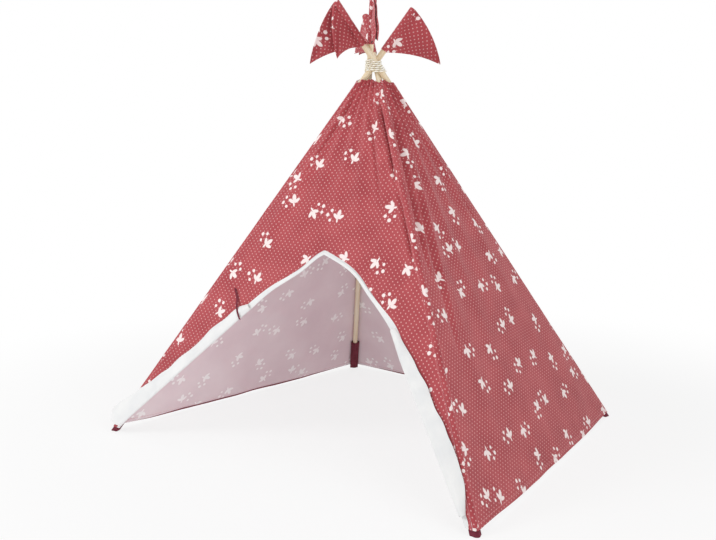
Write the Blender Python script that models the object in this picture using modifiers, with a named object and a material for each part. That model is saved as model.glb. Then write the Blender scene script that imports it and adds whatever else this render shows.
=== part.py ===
"""A children's teepee: four jointed wooden poles lashed where they cross, standing in fabric
pockets, under a printed cotton cover with a tied-back door and a cloth flag on each pole top.

The front faces -Y and the floor is z = 0. All sizes are in metres.
"""

import math

import bmesh
import bpy
import numpy as np
from mathutils import Matrix, Vector
from mathutils.geometry import convex_hull_2d

# Frame
FRONT_FOOT_HALF = 0.742
BACK_FOOT_HALF = 0.591
FOOT_HALF_DEPTH = 0.606
CROSSING_FORWARD = 0.072
CROSSING_HEIGHT = 1.278
POLE_LENGTH = 1.800
POLE_RADIUS = 0.010
POLE_JOINT_ALONG = 0.900
FERRULE_LENGTH = 0.070
FERRULE_WALL = 0.0010
# Feet
POCKET_HEIGHT = 0.140
POCKET_WALL = 0.0018
POCKET_SOLE = 0.0030
# Cover
CLOTH = 0.0024
HEM_HEIGHT = 0.018
COVER_TOP = 1.220
COLLAR_SLACK = 0.0014
GATHER_DEPTH = 0.009
GATHER_STEEPNESS = 0.20
DOOR_HEIGHT = 0.668
DOOR_HEM_WIDTH = 0.013
DOOR_HEM_THICKNESS = 0.0044
DOOR_CORNER_MARGIN = 0.020
FLAP_THICKNESS = 0.0030
TIE_WIDTH = 0.007
TIE_THICKNESS = 0.0014
TIE_LENGTH = 0.086
TIE_HANG = 0.048
TIE_SET_OUT = 0.040
TIE_SLANT = 0.040
# Flags
FLAG_SLEEVE = 0.165
FLAG_WALL = 0.0016
FLAG_CLOTH = 0.0020
FLAG_REACH = 0.094
FLAG_DROP = 0.179
FLAG_WAVE = 0.004
# Lashing
ROPE_RADIUS = 0.0025
ROPE_TURN_COUNT = 6
ROPE_PITCH = 0.0062
ROPE_STANDOFF = 0.0022
ROPE_BELOW_CROSSING = 0.020
ROPE_START = CROSSING_HEIGHT - ROPE_BELOW_CROSSING
KNOT_RADIUS = 0.0058
# Fits
CLEARANCE = 0.0003
POLE_GAP = 0.0007
REAR_SET_OUT = 0.0222
OVERRUN = 0.020
ROUND_SIDE_COUNT = 20

# The door's edge on each side, as (height over the door's height, place over the half width there)
DOOR_EDGE_SHARES = {
    "left": ((1.0, 0.0), (0.91, 0.20), (0.81, 0.42), (0.70, 0.555),
             (0.55, 0.70), (0.35, 0.85), (0.17, 0.95), (0.0, 1.0)),
    "right": ((1.0, 0.0), (0.94, 0.32), (0.84, 0.53), (0.72, 0.71),
              (0.55, 0.815), (0.35, 0.91), (0.17, 0.97), (0.0, 1.0)),
}
# The turned-back curtain, as (share of the way from its top to the foot, width in shares of its widest)
FLAP_WIDTH = 0.072
FLAP_WIDTH_SHARES = {
    "left": ((0.0, 0.55), (0.12, 0.74), (0.33, 0.56), (0.52, 0.70), (0.70, 0.66), (0.85, 0.78), (1.0, 1.0)),
    "right": ((0.0, 0.32), (0.20, 0.50), (0.40, 0.62), (0.70, 0.66), (0.90, 0.60), (1.0, 0.50)),
}
FLAP_TOP_SHARE = 0.70
FLAP_FOOT_SHARE = 0.05
# How far the tie stands off towards its foot, as (share of the way up, share of the whole)
TIE_LIFT_SHARES = ((0.0, 1.0), (0.78, 1.0), (0.90, 0.4), (1.0, 0.0))

CORNERS = ("front_left", "front_right", "rear_right", "rear_left")
PANEL_ENDS = {
    "left": ("front_left", "rear_left"),
    "front": ("front_right", "front_left"),
    "right": ("rear_right", "front_right"),
    "back": ("rear_left", "rear_right"),
}

MATERIALS = {
    "pine": ("#D9BE93", 0.60, 0.0),
    "printed_cotton": ("#B4525C", 0.88, 0.0),
    "lining_cotton": ("#E9E6E4", 0.90, 0.0),
    "maroon_cotton": ("#6E1F33", 0.88, 0.0),
    "cotton_rope": ("#E4DCC2", 0.90, 0.0),
    "steel": ("#B9BBBE", 0.35, 1.0),
}


def clear_scene():
    for thing in list(bpy.data.objects):
        bpy.data.objects.remove(thing, do_unlink=True)


def new_collection(name):
    group = bpy.data.collections.new(name)
    bpy.context.scene.collection.children.link(group)
    return group


clear_scene()
PARTS = new_collection("kids_teepee")
CUTTERS = new_collection("cutters")


def material(name):
    if name in bpy.data.materials:
        return bpy.data.materials[name]
    colour, roughness, metallic = MATERIALS[name]
    made = bpy.data.materials.new(name)
    made.use_nodes = True
    shader = made.node_tree.nodes["Principled BSDF"]
    channels = [int(colour[n : n + 2], 16) / 255 for n in (1, 3, 5)]
    shader.inputs["Base Color"].default_value = (*(channel**2.2 for channel in channels), 1)
    shader.inputs["Roughness"].default_value = roughness
    shader.inputs["Metallic"].default_value = metallic
    return made


def add_object(name, mesh, finish, group=PARTS):
    made = bpy.data.objects.new(name, mesh)
    group.objects.link(made)
    if finish:
        mesh.materials.append(material(finish))
    return made


# The poles: where each stands, which way it leans and how it clears the others at the crossing

FEET = {
    "front_left": Vector((-FRONT_FOOT_HALF, -FOOT_HALF_DEPTH, 0)),
    "front_right": Vector((FRONT_FOOT_HALF, -FOOT_HALF_DEPTH, 0)),
    "rear_right": Vector((BACK_FOOT_HALF, FOOT_HALF_DEPTH, 0)),
    "rear_left": Vector((-BACK_FOOT_HALF, FOOT_HALF_DEPTH, 0)),
}
CROSSING = Vector((0, -CROSSING_FORWARD, CROSSING_HEIGHT))
POLE_SPACING = 2 * POLE_RADIUS + POLE_GAP


def outward_normal(panel):
    """The normal of the plane through a panel's two feet and the crossing, pointing out of the tent."""
    first, second = PANEL_ENDS[panel]
    normal = (FEET[second] - FEET[first]).cross(CROSSING - FEET[first]).normalized()
    return normal if normal.dot(FEET[first]) > 0 else -normal


PANEL_NORMALS = {panel: outward_normal(panel) for panel in PANEL_ENDS}
# The side frames turn towards each other about the line in which their planes meet
FOLD_AXIS = PANEL_NORMALS["left"].cross(PANEL_NORMALS["right"]).normalized()
if FOLD_AXIS.y < 0:
    FOLD_AXIS = -FOLD_AXIS


def lean(corner, through):
    return (through - FEET[corner]).normalized()


def common_normal(first, second):
    return lean(first, CROSSING).cross(lean(second, CROSSING)).normalized()


def half_step(first, second):
    """How far along the fold's axis each pole of a pair moves for the two to be a spacing apart."""
    return FOLD_AXIS * (POLE_SPACING / 2 / abs(FOLD_AXIS.dot(common_normal(first, second))))


def pass_points():
    """Where each pole passes the crossing.

    The poles of a pair lie one behind the other along the fold's axis. The rear pair lies outside
    the front pair, and the front pair is moved along the axis until both diagonals are clear.
    """
    front_step = half_step("front_left", "front_right")
    rear_step = half_step("rear_left", "rear_right")
    places = {
        "front_left": CROSSING - front_step,
        "front_right": CROSSING + front_step,
        "rear_left": CROSSING + rear_step + PANEL_NORMALS["left"] * REAR_SET_OUT,
        "rear_right": CROSSING - rear_step + PANEL_NORMALS["right"] * REAR_SET_OUT,
    }
    shifts = []
    for front, rear in (("front_left", "rear_right"), ("front_right", "rear_left")):
        across = common_normal(front, rear)
        slope = FOLD_AXIS.dot(across)
        if slope < 0:
            across, slope = -across, -slope
        shifts.append((POLE_SPACING - (places[front] - places[rear]).dot(across)) / slope)
    for corner in ("front_left", "front_right"):
        places[corner] += FOLD_AXIS * max(shifts)
    return places


PASSES = pass_points()
LEANS = {corner: lean(corner, PASSES[corner]) for corner in CORNERS}


def along(corner, distance):
    """The point of a pole's axis that far from its foot."""
    return FEET[corner] + LEANS[corner] * distance


def square_to(corner, direction):
    axis = LEANS[corner]
    return (direction - axis * direction.dot(axis)).normalized()


def turned_to(axis, place):
    """A matrix that takes +Z to an axis and the origin to a place."""
    turn = Vector((0, 0, 1)).rotation_difference(axis).to_matrix().to_4x4()
    return Matrix.Translation(place) @ turn


def rod_mesh(name, corner, radius, start, end, sides=ROUND_SIDE_COUNT, foot_level=None):
    """A round bar along a pole, cut level at its foot where a level is given."""
    shape = bmesh.new()
    bmesh.ops.create_cone(
        shape, cap_ends=True, segments=sides, radius1=radius, radius2=radius, depth=end - start
    )
    bmesh.ops.translate(shape, verts=shape.verts, vec=Vector((0, 0, (start + end) / 2)))
    shape.transform(turned_to(LEANS[corner], FEET[corner]))
    if foot_level is not None:
        middle = along(corner, (start + end) / 2)
        for vert in shape.verts:
            if (vert.co - middle).dot(LEANS[corner]) < 0:
                vert.co += LEANS[corner] * ((foot_level - vert.co.z) / LEANS[corner].z)
    mesh = bpy.data.meshes.new(name)
    shape.to_mesh(mesh)
    shape.free()
    shade_round(mesh)
    return mesh


def shade_round(mesh, angle=math.radians(40)):
    mesh.shade_smooth()
    mesh.set_sharp_from_angle(angle=angle)


def cut(target, cutter_mesh, operation="DIFFERENCE"):
    cutter = add_object(cutter_mesh.name, cutter_mesh, None, CUTTERS)
    cutter.hide_render = True
    cutter.display_type = "WIRE"
    step = target.modifiers.new(operation.lower(), "BOOLEAN")
    step.operation = operation
    step.object = cutter
    step.solver = "EXACT"
    return step


def make_pole(corner):
    """Two turned lengths of pine that meet inside a steel ferrule, and the pocket under them."""
    lower = rod_mesh(
        f"pole_{corner}_lower",
        corner,
        POLE_RADIUS,
        OVERRUN,
        POLE_JOINT_ALONG - CLEARANCE / 2,
        foot_level=POCKET_SOLE + CLEARANCE,
    )
    add_object(lower.name, lower, "pine")
    upper = rod_mesh(
        f"pole_{corner}_upper", corner, POLE_RADIUS, POLE_JOINT_ALONG + CLEARANCE / 2, POLE_LENGTH
    )
    add_object(upper.name, upper, "pine")


def make_ferrule(corner):
    inner = POLE_RADIUS + CLEARANCE
    outer = inner + FERRULE_WALL
    half = FERRULE_LENGTH / 2
    corners = [(outer, half), (outer, -half), (inner, -half), (inner, half)]
    profile = bpy.data.meshes.new(f"ferrule_{corner}")
    profile.from_pydata([(x, 0, z) for x, z in corners], [(0, 1), (1, 2), (2, 3), (3, 0)], [])
    made = add_object(profile.name, profile, "steel")
    made.matrix_world = turned_to(LEANS[corner], along(corner, POLE_JOINT_ALONG))
    spin = made.modifiers.new("turn", "SCREW")
    spin.steps = spin.render_steps = ROUND_SIDE_COUNT
    spin.use_merge_vertices = True
    spin.merge_threshold = CLEARANCE / 10


def make_pocket(corner):
    """A cup of doubled cotton sewn into the cover's corner, which the pole's foot stands in."""
    radius = POLE_RADIUS + CLEARANCE + POCKET_WALL
    top = POCKET_HEIGHT / LEANS[corner].z
    cup = rod_mesh(f"pocket_{corner}", corner, radius, OVERRUN, top, foot_level=0)
    made = add_object(cup.name, cup, "maroon_cotton")
    bore = rod_mesh(
        f"pocket_{corner}_bore",
        corner,
        POLE_RADIUS + CLEARANCE,
        OVERRUN,
        top + OVERRUN,
        foot_level=POCKET_SOLE,
    )
    cut(made, bore)


# The cover: its corners wrap the poles and its panels hang between them

SIDE_RIDGE_COUNT = 3
HALF_RIDGE_COUNT = 2
RIDGE_COLUMN_COUNT = 6
PANEL_ROW_COUNT = 14
COVER_INNER = POLE_RADIUS + CLEARANCE + POCKET_WALL + CLEARANCE
COVER_MIDDLE = COVER_INNER + CLOTH / 2


def collar_corners():
    """The corners of the collar's ring, which goes round all four poles with a little slack."""
    at_top = {corner: along(corner, COVER_TOP / LEANS[corner].z) for corner in CORNERS}
    ease = POLE_RADIUS + COLLAR_SLACK - COVER_INNER
    half = max(abs(place.x) for place in at_top.values()) + ease
    front = min(place.y for place in at_top.values()) - ease
    back = max(place.y for place in at_top.values()) + ease
    return {
        corner: Vector((side, depth, COVER_TOP))
        for corner, side, depth in zip(
            CORNERS, (-half, half, half, -half), (front, front, back, back), strict=True
        )
    }


# The cover's corners run straight from the feet to the collar, with the poles inside them
COLLAR = collar_corners()
COVER_LEANS = {corner: lean(corner, COLLAR[corner]) for corner in CORNERS}
CORNER_PANELS = {
    "front_left": ("left", "front"),
    "front_right": ("front", "right"),
    "rear_right": ("right", "back"),
    "rear_left": ("back", "left"),
}


def grid_object(name, columns, rows, place, thickness, finish):
    """An open sheet of columns by rows, each point placed by its shares, given its thickness."""
    shape = bmesh.new()
    bmesh.ops.create_grid(shape, x_segments=columns, y_segments=rows, size=1)
    for vert in shape.verts:
        vert.co = place((vert.co.x + 1) / 2, (vert.co.y + 1) / 2)
    mesh = bpy.data.meshes.new(name)
    shape.to_mesh(mesh)
    shape.free()
    made = add_object(name, mesh, finish)
    wall = made.modifiers.new("thickness", "SOLIDIFY")
    wall.thickness = thickness
    wall.offset = 0
    wall.use_even_offset = True
    return made


def level_at(share):
    return HEM_HEIGHT + (COVER_TOP - HEM_HEIGHT) * share


def corner_line(corner, height):
    return FEET[corner] + COVER_LEANS[corner] * (height / COVER_LEANS[corner].z)


def beside_corner(corner, direction, height):
    """The point at a height of the line beside a corner, off it in a direction square to it."""
    off = direction * COVER_MIDDLE
    return corner_line(corner, height - off.z) + off


def edge_direction(corner, panel, height):
    """The direction from a corner's line, square to it, to where a panel leaves it at a height."""
    first, second = PANEL_ENDS[panel]
    other = second if corner == first else first
    across = corner_line(other, height) - corner_line(corner, height)
    normal = COVER_LEANS[corner].cross(across).normalized()
    return normal if normal.dot(PANEL_NORMALS[panel]) > 0 else -normal


def make_corner(corner):
    """The strip of cover that wraps a pole, from one panel round to the next."""

    def place(across, up):
        height = level_at(up)
        start, end = (edge_direction(corner, panel, height) for panel in CORNER_PANELS[corner])
        angle = start.angle(end)
        trim = CLEARANCE / COVER_MIDDLE / 2
        turn = Matrix.Rotation(trim + (angle - 2 * trim) * across, 3, start.cross(end).normalized())
        return beside_corner(corner, turn @ start, height)

    made = grid_object(f"cover_corner_{corner}", 8, PANEL_ROW_COUNT, place, CLOTH, "printed_cotton")
    shade_round(made.data, math.radians(60))


def panel_point(panel, across, height, lift=0):
    """A point of a panel's middle surface: a share of the way between its two poles, at a height."""
    ends = []
    for corner in PANEL_ENDS[panel]:
        ends.append(beside_corner(corner, edge_direction(corner, panel, height), height))
    return ends[0].lerp(ends[1], across) + PANEL_NORMALS[panel] * lift


def panel_width(panel, height):
    return (panel_point(panel, 1, height) - panel_point(panel, 0, height)).length


def share_at_x(panel, x, height):
    first, second = panel_point(panel, 0, height), panel_point(panel, 1, height)
    return (x - first.x) / (second.x - first.x)


def place_by_x(panel, x, height, lift=0):
    return panel_point(panel, share_at_x(panel, x, height), height, lift)


def edge_trim(panel, height):
    """The share of a panel's width that its sewn gap to a corner strip takes."""
    return CLEARANCE / 2 / panel_width(panel, height)


def gather(across, up, ridges, width):
    """How far a panel's gathered folds stand out, deepest near the top and gone at its edges."""
    edge = 1 / fold_columns(ridges)
    inner = min(max((across - edge) / (1 - 2 * edge), 0), 1)
    depth = min(GATHER_DEPTH * max(up, 0) ** 1.5, GATHER_STEEPNESS * width / ridges)
    return depth * (1 - math.cos(2 * math.pi * ridges * inner)) / 2


def fold_columns(ridges):
    """A flat column at each edge, and the columns that shape each ridge."""
    return ridges * RIDGE_COLUMN_COUNT + 2


def make_side_panel(side):
    def place(across, up):
        height = level_at(up)
        trim = edge_trim(side, height)
        lift = gather(across, up, SIDE_RIDGE_COUNT, panel_width(side, height))
        return panel_point(side, trim + (1 - 2 * trim) * across, height, lift)

    columns = fold_columns(SIDE_RIDGE_COUNT)
    grid_object(f"side_panel_{side}", columns, PANEL_ROW_COUNT, place, CLOTH, "printed_cotton")


def make_back_half(side):
    first = 0 if side == "left" else 1

    def place(across, up):
        height = level_at(up)
        trim = edge_trim("back", height)
        middle = share_at_x("back", 0, height) + (trim if first else -trim)
        outer = first + (-trim if first else trim)
        share = outer + (middle - outer) * (across if side == "left" else 1 - across)
        lift = gather(across, up, HALF_RIDGE_COUNT, panel_width("back", height) / 2)
        return panel_point("back", share, height, lift)

    columns = fold_columns(HALF_RIDGE_COUNT)
    grid_object(f"back_panel_{side}", columns, PANEL_ROW_COUNT, place, CLOTH, "printed_cotton")


# The front panel: each half is cut away along the door's edge, which a lining hem binds


def smooth_through(points, at):
    """The value at a place of a smooth curve through points that run in order of place."""
    places = np.array([p for p, _ in points])
    values = np.array([v for _, v in points])
    order = np.argsort(places)
    places, values = places[order], values[order]
    steps = np.diff(values) / np.diff(places)
    slopes = np.concatenate([[steps[0]], (steps[1:] + steps[:-1]) / 2, [steps[-1]]])
    cell = int(np.clip(np.searchsorted(places, at) - 1, 0, len(steps) - 1))
    width = places[cell + 1] - places[cell]
    t = (at - places[cell]) / width
    rise = values[cell] * (2 * t**3 - 3 * t**2 + 1) + values[cell + 1] * (3 * t**2 - 2 * t**3)
    bend = slopes[cell] * (t**3 - 2 * t**2 + t) + slopes[cell + 1] * (t**3 - t**2)
    return float(rise + bend * width)


EDGE_STEP_SHARE = 0.01
SIGN = {"left": -1, "right": 1}


def front_half_width(height):
    return panel_point("front", 0, height).x - DOOR_CORNER_MARGIN


def door_edge(side, down):
    """A point (x, height) of the door's edge, a share of the way down from its peak to the hem."""
    share = 1 - (1 - HEM_HEIGHT / DOOR_HEIGHT) * down
    height = DOOR_HEIGHT * share
    x = front_half_width(height) * smooth_through(DOOR_EDGE_SHARES[side], share)
    return Vector((SIGN[side] * x, height))


def door_outward(side, down):
    """The direction in the panel, square to the door's edge, that points into the cloth."""
    after = door_edge(side, min(1, down + EDGE_STEP_SHARE))
    before = door_edge(side, max(0, down - EDGE_STEP_SHARE))
    run = (after - before).normalized()
    out = Vector((-run.y, run.x)) * -SIGN[side]
    return Vector((0, 1)) if down == 0 else (out if out.y > 0 else -out)


def off_door(side, down, width):
    """A point (x, height) that far into the cloth from the door's edge, no lower than the hem."""
    place = door_edge(side, down) + door_outward(side, down) * width
    if down == 0:
        place.x = SIGN[side] * CLEARANCE / 2
    if down == 1:
        place.y = HEM_HEIGHT
    return place


def door_row(share):
    """Rows lie closer together near the door's peak, where its edge runs level."""
    return share**1.6


DOOR_ROW_COUNT = 22
UPPER_ROW_COUNT = 9


def make_front_half(side):
    outer = 0 if side == "right" else 1
    peak = off_door(side, 0, DOOR_HEM_WIDTH + CLEARANCE)

    def place(across, up):
        row = round(up * (DOOR_ROW_COUNT + UPPER_ROW_COUNT))
        if row <= DOOR_ROW_COUNT:
            inner = off_door(side, door_row(1 - row / DOOR_ROW_COUNT), DOOR_HEM_WIDTH + CLEARANCE)
        else:
            rise = (row - DOOR_ROW_COUNT) / UPPER_ROW_COUNT
            inner = Vector((SIGN[side] * CLEARANCE / 2, peak.y + (COVER_TOP - peak.y) * rise))
        height = inner.y
        trim = edge_trim("front", height)
        start = outer + (-trim if outer else trim)
        end = share_at_x("front", inner.x, height)
        share = start + (end - start) * (across if side == "right" else 1 - across)
        up_cover = (height - DOOR_HEIGHT) / (COVER_TOP - DOOR_HEIGHT)
        width = panel_width("front", height) * abs(end - start)
        return panel_point("front", share, height, gather(across, up_cover, HALF_RIDGE_COUNT, width))

    grid_object(
        f"front_panel_{side}",
        fold_columns(HALF_RIDGE_COUNT),
        DOOR_ROW_COUNT + UPPER_ROW_COUNT,
        place,
        CLOTH,
        "printed_cotton",
    )


def make_door_hem(side):
    """The door's edge bound in doubled lining."""

    def place(across, up):
        width = DOOR_HEM_WIDTH * (across if side == "right" else 1 - across)
        spot = off_door(side, door_row(1 - up), width)
        return place_by_x("front", spot.x, spot.y)

    grid_object(f"door_hem_{side}", 1, DOOR_ROW_COUNT, place, DOOR_HEM_THICKNESS, "lining_cotton")


FLAP_LIFT = DOOR_HEM_THICKNESS / 2 + CLEARANCE + FLAP_THICKNESS / 2


def flap_line(side):
    """The curtain's fold, straight and just inside the door's edge: its ends (x, height) and outward way."""
    steps = [n / DOOR_ROW_COUNT for n in range(DOOR_ROW_COUNT + 1)]
    edge = [door_edge(side, 1 - FLAP_TOP_SHARE + (FLAP_TOP_SHARE - FLAP_FOOT_SHARE) * n) for n in steps]
    run = (edge[-1] - edge[0]).normalized()
    out = Vector((-run.y, run.x))
    out = out if out.y > 0 else -out
    inset = max((edge[0] - spot).dot(out) for spot in edge)
    return edge[0] - out * inset, edge[-1] - out * inset, out


def make_door_flap(side):
    """The curtain turned back over the panel, its reverse showing, from the tie to the foot."""
    top, foot, out = flap_line(side)

    def place(across, up):
        width = FLAP_WIDTH * smooth_through(FLAP_WIDTH_SHARES[side], 1 - up)
        spot = foot.lerp(top, up) + out * width * (across if side == "right" else 1 - across)
        return place_by_x("front", spot.x, spot.y, FLAP_LIFT)

    grid_object(f"door_flap_{side}", 4, 18, place, FLAP_THICKNESS, "lining_cotton")


def make_door_tie(side):
    """A cotton tape sewn to the panel above the curtain, which its end hangs over or behind."""
    sewn = (CLOTH + TIE_THICKNESS) / 2 + CLEARANCE
    clear = FLAP_LIFT + (FLAP_THICKNESS + TIE_THICKNESS) / 2 + CLEARANCE
    face = 1 if side == "left" else -1

    top = flap_line(side)[0]

    def place(across, up):
        x = top.x + SIGN[side] * (TIE_SET_OUT + TIE_SLANT * up + TIE_WIDTH * (across - 1 / 2))
        lift = sewn + (clear - sewn) * smooth_through(TIE_LIFT_SHARES, up)
        return place_by_x("front", x, top.y - TIE_HANG + TIE_LENGTH * up, face * lift)

    grid_object(f"door_tie_{side}", 1, 8, place, TIE_THICKNESS, "maroon_cotton")


# The flags: a closed sleeve that drops over a pole's top, with a pennant hanging from it


def make_flag(corner):
    tip = POLE_LENGTH + CLEARANCE
    sleeve = rod_mesh(
        f"flag_{corner}",
        corner,
        POLE_RADIUS + CLEARANCE + FLAG_WALL,
        POLE_LENGTH - FLAG_SLEEVE,
        tip + FLAG_WALL,
        sides=16,
    )
    made = add_object(sleeve.name, sleeve, "printed_cotton")
    outward = Vector((LEANS[corner].x, LEANS[corner].y, 0)).normalized()
    seam = square_to(corner, outward) * (POLE_RADIUS + CLEARANCE + FLAG_WALL / 2)
    top = along(corner, POLE_LENGTH - 2 * FLAG_WALL) + seam
    foot = along(corner, POLE_LENGTH - FLAG_SLEEVE + 2 * FLAG_WALL) + seam
    point = along(corner, POLE_LENGTH) + outward * FLAG_REACH - Vector((0, 0, FLAG_DROP))
    side = outward.cross(Vector((0, 0, 1)))
    shape = bmesh.new()
    bmesh.ops.create_grid(shape, x_segments=6, y_segments=6, size=1)
    for vert in shape.verts:
        across, up = (vert.co.x + 1) / 2, (vert.co.y + 1) / 2
        hem = foot.lerp(point, across)
        edge = top.lerp(point, across)
        wave = FLAG_WAVE * 4 * across * (1 - across) * math.sin(3 * math.pi * up)
        vert.co = hem.lerp(edge, up) + side * wave
    bmesh.ops.remove_doubles(shape, verts=shape.verts, dist=CLEARANCE)
    pennant = bpy.data.meshes.new(f"flag_{corner}_pennant")
    shape.to_mesh(pennant)
    shape.free()
    cut(made, pennant, "UNION")
    sheet = bpy.data.objects[pennant.name]
    wall = sheet.modifiers.new("thickness", "SOLIDIFY")
    wall.thickness = FLAG_CLOTH
    wall.offset = 0
    bore = rod_mesh(
        f"flag_{corner}_bore",
        corner,
        POLE_RADIUS + CLEARANCE,
        POLE_LENGTH - FLAG_SLEEVE - OVERRUN,
        tip,
    )
    cut(made, bore)


# The lashing: turns of cotton rope round the four poles where they cross


def hull_radius(height, angle, centre):
    """How far out rope lies in a direction, round the ovals in which a level cuts the poles."""
    reach = POLE_RADIUS + ROPE_RADIUS + ROPE_STANDOFF
    spots = []
    for corner in CORNERS:
        axis = LEANS[corner]
        middle = along(corner, height / axis.z)
        for n in range(2 * ROPE_STEP_COUNT):
            turn = math.pi * n / ROPE_STEP_COUNT
            way = Vector((math.cos(turn), math.sin(turn), 0))
            spots.append((middle + way * (reach / math.sqrt(1 - way.dot(axis) ** 2)) - centre).to_2d())
    ring = [spots[n] for n in convex_hull_2d(spots)]
    way = Vector((math.cos(angle), math.sin(angle)))
    best = 0
    for here, ahead in zip(ring, ring[1:] + ring[:1], strict=True):
        side, side_ahead = way.cross(here), way.cross(ahead)
        if side * side_ahead <= 0 and side != side_ahead:
            best = max(best, here.lerp(ahead, side / (side - side_ahead)).dot(way))
    return best


ROPE_STEP_COUNT = 24
ROPE_START_ANGLE = math.radians(-60)


def rope_path():
    points = []
    for n in range(ROPE_TURN_COUNT * ROPE_STEP_COUNT + 1):
        angle = ROPE_START_ANGLE + 2 * math.pi * n / ROPE_STEP_COUNT
        height = ROPE_START + ROPE_PITCH * n / ROPE_STEP_COUNT
        centre = sum((along(c, height / LEANS[c].z) for c in CORNERS), Vector()) / len(CORNERS)
        radius = hull_radius(height, angle, centre)
        way = Vector((math.cos(angle), math.sin(angle), 0))
        points.append(Vector((centre.x, centre.y, height)) + way * radius)
    return points


def least_self_gap(points):
    """The least clear distance between stretches of rope more than half a turn apart."""
    spots = np.array([tuple(p) for p in points])
    least = math.inf
    for n in range(len(spots) - 1):
        run = spots[n + 1] - spots[n]
        later = spots[n + ROPE_STEP_COUNT // 2 :]
        if not len(later):
            break
        share = np.clip((later - spots[n]) @ run / (run @ run), 0, 1)
        least = min(least, np.linalg.norm(later - spots[n] - share[:, None] * run, axis=1).min())
    return least - 2 * ROPE_RADIUS


def make_lashing():
    points = rope_path()
    print(f"lashing rope: least gap to itself {1000 * least_self_gap(points):.2f} mm")
    curve = bpy.data.curves.new("lashing_rope", "CURVE")
    curve.dimensions = "3D"
    curve.bevel_depth = ROPE_RADIUS
    curve.bevel_resolution = 1
    curve.use_fill_caps = True
    spline = curve.splines.new("POLY")
    spline.points.add(len(points) - 1)
    for spot, point in zip(spline.points, points, strict=True):
        spot.co = (*point, 1)
    add_object("lashing_rope", curve, None).data.materials.append(material("cotton_rope"))
    outward = Vector((math.cos(ROPE_START_ANGLE), math.sin(ROPE_START_ANGLE), 0))
    knot_centre = points[-1] + outward * (ROPE_RADIUS + KNOT_RADIUS + CLEARANCE)
    shape = bmesh.new()
    bmesh.ops.create_uvsphere(shape, u_segments=14, v_segments=8, radius=KNOT_RADIUS)
    bmesh.ops.translate(shape, verts=shape.verts, vec=knot_centre)
    mesh = bpy.data.meshes.new("lashing_knot")
    shape.to_mesh(mesh)
    shape.free()
    shade_round(mesh)
    add_object("lashing_knot", mesh, "cotton_rope")


for name in CORNERS:
    make_pole(name)
    make_ferrule(name)
    make_pocket(name)
    make_corner(name)
    make_flag(name)
for name in ("left", "right"):
    make_side_panel(name)
    make_back_half(name)
    make_front_half(name)
    make_door_hem(name)
    make_door_flap(name)
    make_door_tie(name)
make_lashing()
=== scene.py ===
import math
from functools import lru_cache, partial

import bpy
import numpy as np
from mathutils import Matrix, Vector, noise
from mathutils.geometry import convex_hull_2d


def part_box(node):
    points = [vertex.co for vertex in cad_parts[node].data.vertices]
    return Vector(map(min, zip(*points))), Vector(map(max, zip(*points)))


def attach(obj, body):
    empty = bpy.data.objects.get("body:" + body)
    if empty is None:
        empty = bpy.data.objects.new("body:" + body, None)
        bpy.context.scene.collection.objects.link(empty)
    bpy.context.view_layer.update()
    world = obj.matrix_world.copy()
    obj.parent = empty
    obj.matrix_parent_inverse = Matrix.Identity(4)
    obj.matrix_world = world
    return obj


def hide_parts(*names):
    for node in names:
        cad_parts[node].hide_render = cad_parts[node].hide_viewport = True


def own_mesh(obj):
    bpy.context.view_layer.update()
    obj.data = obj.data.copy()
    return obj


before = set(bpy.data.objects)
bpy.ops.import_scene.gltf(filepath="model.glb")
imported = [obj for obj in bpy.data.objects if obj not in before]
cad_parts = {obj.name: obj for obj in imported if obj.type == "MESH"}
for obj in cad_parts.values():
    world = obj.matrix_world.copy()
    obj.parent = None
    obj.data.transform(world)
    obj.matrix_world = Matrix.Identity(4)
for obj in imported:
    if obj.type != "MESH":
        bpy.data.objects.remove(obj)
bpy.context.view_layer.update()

CORNERS = ("front_left", "front_right", "rear_right", "rear_left")
SIDES = ("left", "right")


# Camera
# The photograph looks at the door from the right, from a little below the lashing, with a
# 50 mm lens about three and a half metres away.

CAMERA_PLACE = (2.000, -2.806, 1.132)
CAMERA_TURN = math.radians(36.963)
CAMERA_DROP = math.radians(9.198)
CAMERA_LENS = 49.78
CAMERA_SENSOR = 36

bpy.ops.object.select_all(action="DESELECT")
bpy.ops.object.camera_add(
    location=CAMERA_PLACE, rotation=(math.pi / 2 - CAMERA_DROP, 0, CAMERA_TURN)
)
camera = bpy.context.object
camera.data.sensor_width = CAMERA_SENSOR
camera.data.lens = CAMERA_LENS
bpy.context.scene.camera = camera


# Poles
# Four bare pine dowels, each in two turned lengths that meet inside a steel ferrule. The wood
# is sanded and unsealed, with fine grain that runs along it and slightly rounded ends.

POLE_RADIUS = 0.010
POLE_LENGTH = 1.800
POLE_JOINT = 0.900
POLE_FOOT = 0.004
POLE_END_ROUNDING = 0.0025
POLE_GRAIN_STEP = 3.7
FEET = {
    "front_left": Vector((-0.742, -0.606, 0)),
    "front_right": Vector((0.742, -0.606, 0)),
    "rear_right": Vector((0.591, 0.606, 0)),
    "rear_left": Vector((-0.591, 0.606, 0)),
}


def pole_lean(corner):
    """The way a pole leans, from its foot to the middle of its upper length in the frame."""
    spots = np.array([v.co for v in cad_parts[f"pole_{corner}_upper"].data.vertices])
    middle = np.unique(spots.round(6), axis=0).mean(axis=0)
    return (Vector(middle) - FEET[corner]).normalized()


LEANS = {corner: pole_lean(corner) for corner in CORNERS}


def along(corner, distance):
    return FEET[corner] + LEANS[corner] * distance


def turned_to(corner, distance):
    """A matrix that takes +Z to a pole's axis and the origin to a place along it."""
    turn = Vector((0, 0, 1)).rotation_difference(LEANS[corner]).to_matrix().to_4x4()
    return Matrix.Translation(along(corner, distance)) @ turn


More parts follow.
